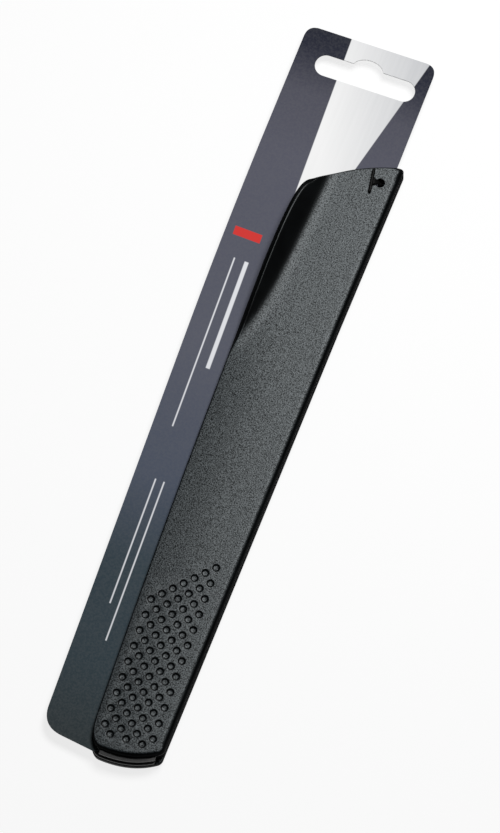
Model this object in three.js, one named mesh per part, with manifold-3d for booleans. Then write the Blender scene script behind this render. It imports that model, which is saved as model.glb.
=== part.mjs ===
// Knife blade guard: a slim sleeve of two moulded halves, joined along one long edge and open along
// the other.
// Millimetres, +Z up. The guard lies on its back half: X runs to the closed edge, Y to the heel end.
import * as THREE from "three";
import { mergeVertices } from "three/addons/utils/BufferGeometryUtils.js";
import Module from "manifold-3d";

// Outline of the front half, measured across from the closed edge and down from the heel corner
const closedLength = 207.7;
const heelWidth = 30;
const tipWidth = 24.3;
const heelLift = 1.5;
const heelBendAcross = 14.1;
const heelBendDown = 2.3;
const heelFall = 12.8;
const heelCorner = 1.4;
const shoulderWidth = 4.6;
const shoulderTurn = 2.5;
const shoulderEase = 0.7;
const shoulderLength = 31;
const openBow = 0.85;
const closedFlare = 0.45;
const flareWidth = 15;
const flareLength = 54;
const tipBow = 6.2;
const tipBendAcross = 7.5;
const tipRise = 0.4;
const tipCornerWidth = 5.5;
const tipCornerLength = 8.3;
const tipCornerLean = 1.2;
const tipClosedCorner = 1;

// Thicknesses of the layers, from the back face up
const guardThickness = 8;
const backPlate = 2.4;
const frontPlate = 1.8;
const linerThickness = 0.9;
const glueGap = 0.15;
const frontRound = 1.5;
const closedRoundRun = 2.4;
const backRound = 0.8;
const roundSteps = 3;

// The back half and the inner plates run past the front half at the tip, less so at the open corner
const backTipReach = 1.8;
const frontLinerTipReach = 1.25;
const backLinerTipReach = 1.6;
const tipReachFade = 0.6;
const linerHeelGap = 12;
const frontLinerOpenGap = 5;
const backLinerOpenGap = 0.8;

// Closed edge: the front half's wall stands on the back half with a tongue in a groove
const wallWidth = 1.9;
const tongueWidth = 0.7;
const tongueDepth = 0.9;
const tongueEndGap = 6;

// Lifted lip at the heel end of the open side, which leads a blade into the slot
const lipWidth = 12.7;
const lipTaper = 0.058;
const lipEnd = 80;
const lipEndPower = 6;
const lipBend = 5;
const lipSlope = 0.5;
const lipCrest = 1.35;
const linerLipShare = 0.85;

// Hang hole in the front half, near the heel corner
const hangHoleDiameter = 2.8;
const hangHoleAcross = 5.2;
const hangHoleDown = 5.95;
const hangHoleSides = 24;

// Round grip dimples sunk in the face near the tip, in staggered rows that run with the open side
const dimpleDiameter = 2.5;
const dimpleDepth = 0.4;
const dimpleBendShare = 0.7;
const dimpleSides = 8;
const dimplePitch = 5.35;
const dimpleRowPitch = 5.45;
const dimpleColumns = 4;
const dimpleFullRows = 9;
const dimpleOpenMargin = 4.1;
const dimpleTipMargin = 8.6;

// Flat bar magnets in pockets on the inside of both halves, clear of the dimples
const magnetCount = 4;
const magnetLength = 18;
const magnetWidth = 8;
const magnetThickness = 1;
const magnetAcross = 13.2;
const magnetFirstDown = 40;
const magnetPitch = 31;
const magnetClearance = 0.15;

// Hang card held in the slot
const cardThickness = 0.5;
const cardLift = 0.3;
const cardRise = 38.4;
const cardTopSlant = 1.7;
const cardHeadLean = 0.4;
const cardTipReach = 0.25;
const cardTipSlant = 1.9;
const cardUnderlap = 2.9;
const cardInnerGap = 3;
const cardWallGap = 0.45;
const cardHeelOverhang = 16.4;
const cardTipOverhang = 15.45;
const cardCorner = 4;
const cardTipCorner = 7;
const cardBendDown = 38;
const cardBendHalf = 38;
const hangSlotLength = 33.5;
const hangSlotHeight = 7.2;
const hangSlotDrop = 11.2;
const hangSlotShift = 1.4;
const hangSlotPeakWidth = 10;
const hangSlotPeakRise = 2.6;
const hangSlotPeakEase = 0.7;
const cardCurveSteps = 8;

// Tag fastener through the hang hole: a bar on the face, a thread, and a bar behind the card
const tagBarLength = 8.2;
const tagBarWidth = 1.1;
const tagThread = 1.1;
const tagReach = 2.75;
const tagLean = 10.7;
const tagGap = 0.3;
const tagWebWidth = 2.8;
const tagWebThickness = 0.7;
const tagSides = 8;
const notchClearance = 0.35;

// Levels and places worked out from the sizes above
const slotLow = backPlate + glueGap + linerThickness;
const frontInner = guardThickness - frontPlate;
const slotHigh = frontInner - glueGap - linerThickness;
const closedX = heelWidth / 2;
const heelY = (closedLength + tipBow) / 2;
const shoulderDown = heelFall + shoulderLength;
const tipCornerDown = closedLength + tipBow - tipCornerLength;
const openSlope = (heelWidth - tipWidth) / (tipCornerDown - shoulderDown);
const cardLow = slotLow + cardLift;

// Modelling allowances: how far a cut runs past a face, and when two points count as one
const cutOver = 1;
const mergeDistance = 1e-4;
const halvings = 40;

const wasm = await Module();
wasm.setup();

const place = (across, down) => new THREE.Vector2(closedX - across, heelY - down);
const hangHole = place(hangHoleAcross, hangHoleDown);

// A closed geometry as a solid that can be joined and cut
function solidOf(geometry) {
  const bare = geometry.clone();
  bare.deleteAttribute("normal");
  bare.deleteAttribute("uv");
  const merged = mergeVertices(bare, mergeDistance);
  return new wasm.Manifold(
    new wasm.Mesh({
      numProp: 3,
      vertProperties: merged.attributes.position.array,
      triVerts: new Uint32Array(merged.index.array),
    }),
  );
}

function geometryOf(solid) {
  const { vertProperties, triVerts } = solid.getMesh();
  const geometry = new THREE.BufferGeometry();
  geometry.setAttribute("position", new THREE.BufferAttribute(vertProperties, 3));
  geometry.setIndex(new THREE.BufferAttribute(triVerts, 1));
  geometry.computeVertexNormals();
  return geometry;
}

// An upright block between two levels, given by its edges across and down
function block(acrossLow, acrossHigh, downLow, downHigh, low, high) {
  const box = new THREE.BoxGeometry(acrossHigh - acrossLow, downHigh - downLow, high - low);
  const middle = place((acrossLow + acrossHigh) / 2, (downLow + downHigh) / 2);
  return solidOf(box.translate(middle.x, middle.y, (low + high) / 2));
}

function uprightRod(radius, low, high, sides, at) {
  const rod = new THREE.CylinderGeometry(radius, radius, high - low, sides);
  return solidOf(rod.rotateX(Math.PI / 2).translate(at.x, at.y, (low + high) / 2));
}

// Heel edge: a long slanted curve, then a shoulder that turns into the open side
const shoulderStart = new THREE.Vector2(heelWidth - shoulderWidth, heelFall);
const heelEdge = new THREE.QuadraticBezierCurve(
  new THREE.Vector2(0, -heelLift),
  new THREE.Vector2(heelBendAcross, heelBendDown),
  shoulderStart,
);
const shoulder = new THREE.CubicBezierCurve(
  shoulderStart,
  new THREE.Vector2(heelWidth - shoulderWidth / 2, heelFall + shoulderTurn * shoulderEase),
  new THREE.Vector2(heelWidth, heelFall + shoulderTurn),
  new THREE.Vector2(heelWidth, shoulderDown),
);

// Tip edge: a bowed curve from the closed corner, then a rounded corner to the open side
const tipCornerLow = closedLength + tipBow - tipRise;
const tipCornerStart = new THREE.Vector2(tipWidth - tipCornerWidth, tipCornerLow);
const tipEdge = new THREE.QuadraticBezierCurve(
  new THREE.Vector2(0, closedLength),
  new THREE.Vector2(tipBendAcross, closedLength + tipBow),
  tipCornerStart,
);
const tipCorner = new THREE.QuadraticBezierCurve(
  tipCornerStart,
  new THREE.Vector2(tipWidth - tipCornerLean, tipCornerLow),
  new THREE.Vector2(tipWidth, tipCornerDown),
);

// How far down a curve lies at a place across, found by halving
function downOn(curve, across) {
  let low = 0;
  let high = 1;
  for (let step = 0; step < halvings; step += 1) {
    const middle = (low + high) / 2;
    if (curve.getPoint(middle).x < across) low = middle;
    else high = middle;
  }
  return curve.getPoint(high).y;
}

// A corner's rounding eats this much of an edge that ends at the closed side
function cornerLoss(across, radius) {
  const share = Math.max(0, 1 - across / radius);
  return radius * (1 - Math.sqrt(1 - share * share));
}

function heelDown(across) {
  const edge = across < shoulderStart.x ? heelEdge : shoulder;
  return downOn(edge, across) + cornerLoss(across, heelCorner);
}

function tipDown(across) {
  const edge = across < tipCornerStart.x ? tipEdge : tipCorner;
  return downOn(edge, across) - cornerLoss(across, tipClosedCorner);
}

// How much of a reach past the tip is left at a place across
function reachShare(across) {
  const share = Math.max(0, across - tipCornerStart.x) / tipCornerWidth;
  return 1 - tipReachFade * share ** 2;
}

// The closed edge flares out a little towards the heel
function flareAt(across, down) {
  const near = Math.max(0, 1 - across / flareWidth);
  return closedFlare * near * Math.max(0, 1 - down / flareLength);
}

// How far a long line is bowed out at a share of its length
const bowAt = (share) => openBow * 4 * share * (1 - share);

// Across to the open side at any distance down
function openAcross(down) {
  const run = Math.max(0, down - shoulderDown);
  const share = Math.min(1, run / (tipCornerDown - shoulderDown));
  return heelWidth - openSlope * run + bowAt(share);
}

// Height of the lifted lip over the flat face. It narrows from the heel to its end, bends up softly,
// rises straight, and ends level along its rim.
function lipLift(across, down) {
  const run = Math.min(1, Math.max(0, down) / lipEnd);
  const width = (lipWidth - lipTaper * down) * (1 - run ** lipEndPower);
  const inside = Math.max(0, width - Math.max(openAcross(down) - across, lipCrest));
  const bent = Math.min(inside, lipBend);
  return lipSlope * (bent ** 2 / (2 * lipBend) + inside - bent);
}

// Shares of the width and length at which a plate has a line of points
const acrossShares = [0.17, 0.34, 0.5, 0.62, 0.71, 0.79, 0.86, 0.92, 0.955, 0.98, 1];
const alongShares = [0.2, 0.4, 0.58, 0.66, 0.71, 0.76, 0.81, 0.86, 0.91, 0.955, 1];

// The steps of a rounded edge: distance in from the edge, and drop below the face
function edgeSteps(width, height) {
  if (width === 0) return [{ run: 0, drop: 0 }];
  return Array.from({ length: roundSteps + 1 }, (_, step) => {
    const angle = (step / roundSteps) * (Math.PI / 2);
    return { run: width * (1 - Math.cos(angle)), drop: height * (1 - Math.sin(angle)) };
  });
}

// A plate that follows the guard's outline. Lines run from the tip edge to the heel edge, side by side
// from the closed edge to the open side. The outer face is rounded off at the closed edge and the tip.
function plate({
  outer,
  inner,
  round = 0,
  closedRun = round,
  closedInset = 0,
  openInset = 0,
  width,
  heelInset = 0,
  tipReach = 0,
  lip = 0,
}) {
  const heelEnd = width ?? heelWidth - openInset;
  const tipEnd = width ?? tipWidth - openInset;
  const steps = edgeSteps(round, round);
  const startAcross = closedInset + closedRun;
  const lines = edgeSteps(closedRun, round).map(({ run, drop }) => {
    const across = closedInset + run;
    return { heel: across, tip: across, drop, bow: 0 };
  });
  for (const share of acrossShares) {
    const heel = THREE.MathUtils.lerp(startAcross, heelEnd, share);
    const tip = THREE.MathUtils.lerp(startAcross, tipEnd, share);
    lines.push({ heel, tip, drop: 0, bow: width ? 0 : share });
  }
  const rows = steps.length + alongShares.length;
  const top = [];
  const bottom = [];
  for (const line of lines) {
    const heel = new THREE.Vector2(line.heel, heelDown(line.heel) + heelInset);
    const tip = new THREE.Vector2(line.tip, tipDown(line.tip) + tipReach * reachShare(line.tip));
    const length = heel.distanceTo(tip);
    const stops = steps.map(({ run, drop }) => ({ share: run / length, drop }));
    for (const share of alongShares) {
      stops.push({ share: THREE.MathUtils.lerp(round / length, 1, share), drop: 0 });
    }
    for (const stop of stops) {
      const point = tip.clone().lerp(heel, stop.share);
      point.x += line.bow * bowAt(stop.share) - flareAt(point.x, point.y);
      const { x, y } = place(point.x, point.y);
      const lift = lip * lipLift(point.x, point.y);
      const drop = Math.max(line.drop, stop.drop) * Math.sign(inner - outer);
      top.push(x, y, Math.max(outer + drop, inner) + lift);
      bottom.push(x, y, Math.min(outer + drop, inner) + lift);
    }
  }
  const count = lines.length * rows;
  const triangles = [];
  const quad = (a, b, c, d) => triangles.push(a, b, c, a, c, d);
  for (let line = 0; line + 1 < lines.length; line += 1) {
    for (let row = 0; row + 1 < rows; row += 1) {
      const a = line * rows + row;
      quad(a, a + 1, a + rows + 1, a + rows);
      quad(count + a, count + a + rows, count + a + rows + 1, count + a + 1);
    }
    const tipEdgePoint = line * rows;
    const heelEdgePoint = tipEdgePoint + rows - 1;
    quad(tipEdgePoint, tipEdgePoint + rows, count + tipEdgePoint + rows, count + tipEdgePoint);
    quad(heelEdgePoint + rows, heelEdgePoint, count + heelEdgePoint, count + heelEdgePoint + rows);
  }
  const last = count - rows;
  for (let row = 0; row + 1 < rows; row += 1) {
    quad(row + 1, row, count + row, count + row + 1);
    quad(last + row, last + row + 1, count + last + row + 1, count + last + row);
  }
  const geometry = new THREE.BufferGeometry();
  geometry.setAttribute("position", new THREE.Float32BufferAttribute([...top, ...bottom], 3));
  geometry.setIndex(triangles);
  return solidOf(geometry);
}

// Middles of the magnets and their pockets, down from the heel corner
const magnetDowns = Array.from(
  { length: magnetCount },
  (_, index) => magnetFirstDown + index * magnetPitch,
);

function magnetBlock(down, low, high, clearance) {
  const halfWidth = magnetWidth / 2 + clearance;
  const halfLength = magnetLength / 2 + clearance;
  return block(
    magnetAcross - halfWidth,
    magnetAcross + halfWidth,
    down - halfLength,
    down + halfLength,
    low,
    high,
  );
}

// A strip along the closed edge's wall, for the tongue and its groove
function wallStrip(clearance, low, high) {
  const middle = wallWidth / 2;
  const half = tongueWidth / 2 + clearance;
  const start = tongueEndGap - clearance;
  const end = closedLength - tongueEndGap + clearance;
  return block(middle - half, middle + half, start, end, low, high);
}

// The round cut that leaves a dimple
function dimple(at) {
  const radius = dimpleDiameter / 2;
  const bendDepth = dimpleDepth * (1 - dimpleBendShare ** 4);
  const profile = [
    new THREE.Vector2(0, -dimpleDepth),
    new THREE.Vector2(radius * dimpleBendShare, -bendDepth),
    new THREE.Vector2(radius, 0),
    new THREE.Vector2(radius, cutOver),
    new THREE.Vector2(0, cutOver),
  ];
  const bowl = new THREE.LatheGeometry(profile, dimpleSides);
  return solidOf(bowl.rotateX(Math.PI / 2).translate(at.x, at.y, guardThickness));
}

// Places of the dimples: full rows with shorter rows between them, and a slanted start that loses half a
// column a row
function dimplePlaces() {
  const places = [];
  const lastDown = tipCornerDown + tipCornerLength - dimpleTipMargin;
  const firstDown = lastDown - (dimpleFullRows - 1) * dimpleRowPitch;
  const firstAcross = openAcross(firstDown) - dimpleOpenMargin;
  const slantRows = 2 * (dimpleColumns - 1);
  for (let row = -slantRows; row < 2 * dimpleFullRows; row += 1) {
    const between = Math.abs(row % 2);
    const runDown = (row * dimpleRowPitch) / 2;
    for (let column = 0; column < dimpleColumns - between; column += 1) {
      const halfColumns = 2 * column + between;
      if (halfColumns < -row) continue;
      const across = firstAcross - openSlope * runDown - (halfColumns * dimplePitch) / 2;
      const sidewaysDown = openSlope * halfColumns * (dimplePitch / 2);
      places.push(place(across, firstDown + runDown - sidewaysDown));
    }
  }
  return places;
}

function frontShell() {
  let shell = plate({
    outer: guardThickness,
    inner: frontInner,
    round: frontRound,
    closedRun: closedRoundRun,
    lip: 1,
  });
  const wallRoot = guardThickness - frontRound;
  shell = shell.add(plate({ outer: wallRoot, inner: backPlate + glueGap, width: wallWidth }));
  shell = shell.add(wallStrip(0, backPlate - tongueDepth, frontInner));
  for (const down of magnetDowns) {
    const pocketTop = frontInner + magnetThickness + magnetClearance;
    shell = shell.subtract(magnetBlock(down, frontInner - cutOver, pocketTop, magnetClearance));
  }
  for (const at of dimplePlaces()) shell = shell.subtract(dimple(at));
  const bore = uprightRod(hangHoleDiameter / 2, 0, guardThickness + cutOver, hangHoleSides, hangHole);
  return shell.subtract(bore);
}

function backShell() {
  let shell = plate({ outer: 0, inner: backPlate, round: backRound, tipReach: backTipReach });
  const grooveFloor = backPlate - tongueDepth - glueGap;
  shell = shell.subtract(wallStrip(glueGap, grooveFloor, backPlate + cutOver));
  for (const down of magnetDowns) {
    const pocketFloor = backPlate - magnetThickness - magnetClearance;
    shell = shell.subtract(magnetBlock(down, pocketFloor, backPlate + cutOver, magnetClearance));
  }
  return shell;
}

// Inner plates that close the magnet pockets and line the slot
function liner(low, tipReach, openInset, lip) {
  return plate({
    outer: low + linerThickness,
    inner: low,
    closedInset: wallWidth + glueGap,
    openInset,
    heelInset: linerHeelGap,
    tipReach,
    lip,
  });
}

// A long round-ended slot with a raised middle, drawn round its own middle
function hangSlotPoints() {
  const slot = new THREE.Path();
  const radius = hangSlotHeight / 2;
  const end = hangSlotLength / 2 - radius;
  const peak = hangSlotPeakWidth / 2;
  const controlX = peak * hangSlotPeakEase;
  const controlY = radius + (hangSlotPeakRise * 4) / 3;
  slot.moveTo(-end, -radius);
  slot.lineTo(end, -radius);
  slot.absarc(end, 0, radius, -Math.PI / 2, Math.PI / 2, false);
  slot.lineTo(peak, radius);
  slot.bezierCurveTo(controlX, controlY, -controlX, controlY, -peak, radius);
  slot.lineTo(-end, radius);
  slot.absarc(-end, 0, radius, Math.PI / 2, (3 * Math.PI) / 2, false);
  return slot.getPoints(cardCurveSteps);
}

// Card outline: beside the wall with a notch at the hang hole, bent along its free side, and cut back
// under the tip of the guard
function hangCard() {
  const inner = closedX - wallWidth - cardWallGap;
  const headInner = inner - cardHeadLean;
  const topY = heelY + cardRise;
  const freeTop = place(heelWidth + cardHeelOverhang, 0).x;
  const freeTopY = topY - cardTopSlant;
  const bendY = heelY - cardBendDown;
  const underTip = place(tipWidth - cardUnderlap, closedLength + tipBow + cardTipReach);
  const freeBottom = place(tipWidth + cardTipOverhang, 0).x;
  const bottomY = underTip.y + cardTipSlant;
  const lean = (freeBottom - freeTop) / (bendY - bottomY);
  const topSlope = cardTopSlant / (headInner - freeTop);
  const tipSlope = cardTipSlant / (underTip.x - freeBottom);
  const notch = tagThread / 2 + notchClearance;
  const outline = new THREE.Shape();
  outline.moveTo(inner, heelY - closedLength + cardInnerGap);
  outline.lineTo(inner, hangHole.y - notch);
  outline.lineTo(hangHole.x, hangHole.y - notch);
  outline.absarc(hangHole.x, hangHole.y, notch, -Math.PI / 2, Math.PI / 2, true);
  outline.lineTo(inner, hangHole.y + notch);
  outline.lineTo(headInner, topY - cardCorner);
  outline.quadraticCurveTo(headInner, topY, headInner - cardCorner, topY - topSlope * cardCorner);
  outline.lineTo(freeTop + cardCorner, freeTopY + topSlope * cardCorner);
  outline.quadraticCurveTo(freeTop, freeTopY, freeTop, freeTopY - cardCorner);
  outline.lineTo(freeTop, bendY + cardBendHalf);
  outline.quadraticCurveTo(freeTop, bendY, freeTop + lean * cardBendHalf, bendY - cardBendHalf);
  outline.lineTo(freeBottom - lean * cardTipCorner, bottomY + cardTipCorner);
  const cornerEnd = new THREE.Vector2(cardTipCorner, -tipSlope * cardTipCorner);
  cornerEnd.add(new THREE.Vector2(freeBottom, bottomY));
  outline.quadraticCurveTo(freeBottom, bottomY, cornerEnd.x, cornerEnd.y);
  outline.lineTo(underTip.x, underTip.y);

  const slotX = (inner + freeTop) / 2 + hangSlotShift;
  const slotY = topY - topSlope * (headInner - slotX) - hangSlotDrop;
  const slotMiddle = new THREE.Vector2(slotX, slotY);
  const square = new THREE.Vector2();
  const slotPoints = hangSlotPoints().map((point) =>
    point.rotateAround(square, Math.atan(topSlope)).add(slotMiddle),
  );
  outline.holes.push(new THREE.Path(slotPoints));

  const sheet = new THREE.ExtrudeGeometry(outline, {
    depth: cardThickness,
    bevelEnabled: false,
    curveSegments: cardCurveSteps,
  });
  return solidOf(sheet.translate(0, 0, cardLow));
}

// The bar on the face hangs on a short web, and the thread drops through the hole to the bar behind
// the card
function tagFastener() {
  const barRadius = tagBarWidth / 2;
  const barHigh = guardThickness + tagGap + barRadius;
  const bar = new THREE.CapsuleGeometry(barRadius, tagBarLength - tagBarWidth, 2, tagSides);
  bar.translate(-tagReach, 0, 0);
  const webShape = new THREE.Shape();
  webShape.moveTo(0, -tagThread / 2);
  webShape.lineTo(0, tagThread / 2);
  webShape.lineTo(-tagReach, tagWebWidth / 2);
  webShape.lineTo(-tagReach, -tagWebWidth / 2);
  const web = new THREE.ExtrudeGeometry(webShape, { depth: tagWebThickness, bevelEnabled: false });
  web.translate(0, 0, -tagWebThickness / 2);
  const lean = THREE.MathUtils.degToRad(tagLean);
  const [barSolid, webSolid] = [bar, web].map((piece) =>
    solidOf(piece.rotateZ(lean).translate(hangHole.x, hangHole.y, barHigh)),
  );
  const rearHeight = cardLow - backPlate - 2 * tagGap;
  const rearMiddle = backPlate + tagGap + rearHeight / 2;
  const rearBar = new THREE.CapsuleGeometry(rearHeight / 2, tagBarLength - rearHeight, 2, tagSides);
  const rearSolid = solidOf(rearBar.translate(hangHole.x, hangHole.y, rearMiddle));
  const thread = uprightRod(tagThread / 2, rearMiddle, barHigh + tagWebThickness / 2, tagSides, hangHole);
  return barSolid.add(webSolid).add(thread).add(rearSolid);
}

const guard = new THREE.Group();

function addPart(name, solid, color, roughness, metalness = 0) {
  const material = new THREE.MeshStandardMaterial({ color, roughness, metalness });
  const mesh = new THREE.Mesh(geometryOf(solid), material);
  mesh.name = name;
  guard.add(mesh);
}

const blackPlastic = 0x2b2c2d;
const innerPlastic = 0x333435;
const magnetPlating = 0xa9abad;
addPart("back_shell", backShell(), blackPlastic, 0.55);
addPart("front_shell", frontShell(), blackPlastic, 0.55);
const backLiner = liner(backPlate + glueGap, backLinerTipReach, backLinerOpenGap, 0);
const frontLiner = liner(slotHigh, frontLinerTipReach, frontLinerOpenGap, linerLipShare);
addPart("back_liner", backLiner, innerPlastic, 0.5);
addPart("front_liner", frontLiner, innerPlastic, 0.5);
magnetDowns.forEach((down, index) => {
  const backLow = backPlate - magnetThickness;
  const frontHigh = frontInner + magnetThickness;
  addPart(`back_magnet_${index + 1}`, magnetBlock(down, backLow, backPlate, 0), magnetPlating, 0.3, 1);
  addPart(`front_magnet_${index + 1}`, magnetBlock(down, frontInner, frontHigh, 0), magnetPlating, 0.3, 1);
});
addPart("hang_card", hangCard(), 0x3c4754, 0.6);
addPart("tag_fastener", tagFastener(), 0x1b1b1c, 0.35);

export default guard;
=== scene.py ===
# Knife blade guard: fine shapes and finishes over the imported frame
from math import atan, cos, pi, radians, sin, tan

import bmesh
import bpy
import numpy as np
from mathutils import Matrix, Vector
from mathutils.geometry import delaunay_2d_cdt


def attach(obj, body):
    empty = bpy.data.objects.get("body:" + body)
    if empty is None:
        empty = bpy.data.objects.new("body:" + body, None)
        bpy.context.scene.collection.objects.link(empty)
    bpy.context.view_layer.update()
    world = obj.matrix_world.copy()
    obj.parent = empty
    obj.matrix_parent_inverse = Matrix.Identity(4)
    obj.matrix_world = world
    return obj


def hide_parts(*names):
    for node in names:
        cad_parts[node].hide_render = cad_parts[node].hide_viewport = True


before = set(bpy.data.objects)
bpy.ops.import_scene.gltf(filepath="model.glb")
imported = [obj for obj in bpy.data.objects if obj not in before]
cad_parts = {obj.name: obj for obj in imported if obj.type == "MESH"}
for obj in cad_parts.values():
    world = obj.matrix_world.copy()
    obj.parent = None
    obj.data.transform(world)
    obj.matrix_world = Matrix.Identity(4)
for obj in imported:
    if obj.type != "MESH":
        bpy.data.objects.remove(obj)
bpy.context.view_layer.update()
scene = bpy.context.scene
scene.view_settings.view_transform = "Standard"
mm = 0.001  # shapes are drawn in millimetres and scaled once, when they become pieces
print("frame loaded:", len(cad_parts), "solids")

# the guard's outline, across from the closed edge and down from the heel corner
guardShape = {
    "closedLength": 207.7,
    "heelWidth": 30.0,
    "tipWidth": 24.3,
    "heelLift": 1.5,
    "heelBend": (14.1, 2.3),
    "heelFall": 12.8,
    "heelCorner": 1.4,
    "shoulderWidth": 4.6,
    "shoulderTurn": 2.5,
    "shoulderEase": 0.7,
    "shoulderLength": 31.0,
    "openBow": 0.85,
    "closedFlare": (0.45, 15.0, 54.0),
    "tipBow": 6.2,
    "tipBendAcross": 7.5,
    "tipRise": 0.4,
    "tipCornerWidth": 5.5,
    "tipCornerLength": 8.3,
    "tipCornerLean": 1.2,
    "tipClosedCorner": 1.0,
    "tipReachFade": 0.6,
    "thickness": 8.0,
    "backPlate": 2.4,
    "frontPlate": 1.8,
    "linerThickness": 0.9,
    "glueGap": 0.15,
    "wallWidth": 1.9,
}
closedX = guardShape["heelWidth"] / 2
heelY = (guardShape["closedLength"] + guardShape["tipBow"]) / 2
shoulderDown = guardShape["heelFall"] + guardShape["shoulderLength"]
tipLow = guardShape["closedLength"] + guardShape["tipBow"]
tipCornerDown = tipLow - guardShape["tipCornerLength"]
frontInner = guardShape["thickness"] - guardShape["frontPlate"]
slotLow = guardShape["backPlate"] + guardShape["glueGap"] + guardShape["linerThickness"]
slotHigh = frontInner - guardShape["glueGap"] - guardShape["linerThickness"]


def toFrame(points):  # across and down to x and y
    return np.array([closedX, heelY]) - np.asarray(points, float)


def bezier(*corners, count=160):
    share = np.linspace(0, 1, count + 1)[:, None]
    rows = [np.tile(np.array(c, float), (count + 1, 1)) for c in corners]
    while len(rows) > 1:
        rows = [a * (1 - share) + b * share for a, b in zip(rows, rows[1:])]
    return rows[0]


def resample(points, spacing):  # evenly spaced points on a polyline, ends kept
    run = np.concatenate([[0], np.cumsum(np.hypot(*np.diff(points, axis=0).T))])
    stops = np.linspace(0, run[-1], max(2, int(round(run[-1] / spacing)) + 1))
    return np.stack([np.interp(stops, run, points[:, i]) for i in (0, 1)], 1)


def cornerLoss(across, radius):  # what a rounded corner eats of an edge at the closed side
    share = np.clip(1 - across / radius, 0, 1)
    return radius * (1 - np.sqrt(1 - share * share))


def smoothstep(value, low, high):
    share = np.clip((value - low) / (high - low), 0, 1)
    return share * share * (3 - 2 * share)


shoulderStart = (guardShape["heelWidth"] - guardShape["shoulderWidth"], guardShape["heelFall"])
shoulderHigh = guardShape["heelFall"] + guardShape["shoulderTurn"]
heelLine = np.vstack([
    bezier((0, -guardShape["heelLift"]), guardShape["heelBend"], shoulderStart),
    bezier(
        shoulderStart,
        (
            guardShape["heelWidth"] - guardShape["shoulderWidth"] / 2,
            guardShape["heelFall"] + guardShape["shoulderTurn"] * guardShape["shoulderEase"],
        ),
        (guardShape["heelWidth"], shoulderHigh),
        (guardShape["heelWidth"], shoulderDown),
    )[1:],
])
heelLine[:, 1] += cornerLoss(heelLine[:, 0], guardShape["heelCorner"])
tipCornerLow = tipLow - guardShape["tipRise"]
tipCornerStart = (guardShape["tipWidth"] - guardShape["tipCornerWidth"], tipCornerLow)
tipLine = np.vstack([
    bezier((0, guardShape["closedLength"]), (guardShape["tipBendAcross"], tipLow), tipCornerStart),
    bezier(
        tipCornerStart,
        (guardShape["tipWidth"] - guardShape["tipCornerLean"], tipCornerLow),
        (guardShape["tipWidth"], tipCornerDown),
    )[1:],
])
tipLine[:, 1] -= cornerLoss(tipLine[:, 0], guardShape["tipClosedCorner"])


def openAcross(down):  # across to the open side
    run = np.maximum(0, down - shoulderDown) / (tipCornerDown - shoulderDown)
    bow = guardShape["openBow"] * 4 * np.clip(run, 0, 1) * (1 - np.clip(run, 0, 1))
    return guardShape["heelWidth"] - (guardShape["heelWidth"] - guardShape["tipWidth"]) * run + bow


def trimmed(line, low, high):  # the stretch of an edge between two places across
    inside = line[(line[:, 0] > low) & (line[:, 0] < high)]
    ends = [[a, np.interp(a, line[:, 0], line[:, 1])] for a in (low, high)]
    return np.vstack([ends[:1], inside, ends[1:]])


closedEdge, heelEdge, openEdge, tipEdge = range(4)


outlineStep = {"closed": 2.0, "heel": 0.5, "open": 1.5, "tip": 0.4}  # spacing of the outline's points


# the outline as a loop seen from the front: up the closed edge, round the heel, down the open side
# and back along the tip
def guardOutline(closedInset=0.0, openInset=0.0, heelInset=0.0, tipReach=0.0, width=None):
    heelEnd = width or guardShape["heelWidth"] - openInset
    tipEnd = width or guardShape["tipWidth"] - openInset
    heel = resample(trimmed(heelLine, closedInset, heelEnd) + (0, heelInset), outlineStep["heel"])
    tip = trimmed(tipLine, closedInset, tipEnd)
    share = np.maximum(0, tip[:, 0] - tipCornerStart[0]) / guardShape["tipCornerWidth"]
    tip[:, 1] += tipReach * (1 - guardShape["tipReachFade"] * share ** 2)  # less reach at the open corner
    tip = resample(tip, outlineStep["tip"])
    closedSide = resample(np.array([tip[0], heel[0]]), outlineStep["closed"])
    openSide = resample(np.array([heel[-1], tip[-1]]), outlineStep["open"])
    if width is None:
        share = np.linspace(0, 1, len(openSide))
        openSide[:, 0] += guardShape["openBow"] * 4 * share * (1 - share)
    sides = [closedSide[:-1], heel[:-1], openSide[:-1], tip[::-1][:-1]]
    edges = np.concatenate([np.full(len(side), edge) for edge, side in enumerate(sides)])
    loop = np.vstack(sides)
    flare, flareWidth, flareLength = guardShape["closedFlare"]  # the closed edge runs out towards the heel
    near = np.maximum(0, 1 - loop[:, 0] / flareWidth)
    loop[:, 0] -= flare * near * np.maximum(0, 1 - loop[:, 1] / flareLength)
    return loop, edges


def inward(loop):  # unit normals that point into a loop running anticlockwise
    ahead = np.roll(loop, -1, 0) - loop
    ahead /= np.linalg.norm(ahead, axis=1)[:, None]
    along = ahead + np.roll(ahead, 1, 0)
    along /= np.linalg.norm(along, axis=1)[:, None]
    return np.stack([-along[:, 1], along[:, 0]], 1)


def eased(values, loop, reach):  # blends a value along the loop, so that one edge runs into the next
    step = np.linalg.norm(np.roll(loop, -1, 0) - loop, axis=1)
    run = np.concatenate([[0], np.cumsum(step)[:-1]])
    gap = np.abs(run[:, None] - run[None, :])
    gap = np.minimum(gap, step.sum() - gap)
    weight = np.exp(-((gap / reach) ** 2)) * (step + np.roll(step, 1))[None, :]
    return (weight @ values) / weight.sum(1)


def nearest(points, line):  # distance to a polyline, and how far along its points it is
    start, end = line[:-1], line[1:]
    span = end - start
    share = ((points[:, None] - start) * span).sum(2) / (span * span).sum(1)
    share = np.clip(share, 0, 1)
    gap = np.linalg.norm(points[:, None] - (start + span * share[..., None]), axis=2)
    best = gap.argmin(1)
    row = np.arange(len(points))
    return gap[row, best], best + share[row, best]


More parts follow.
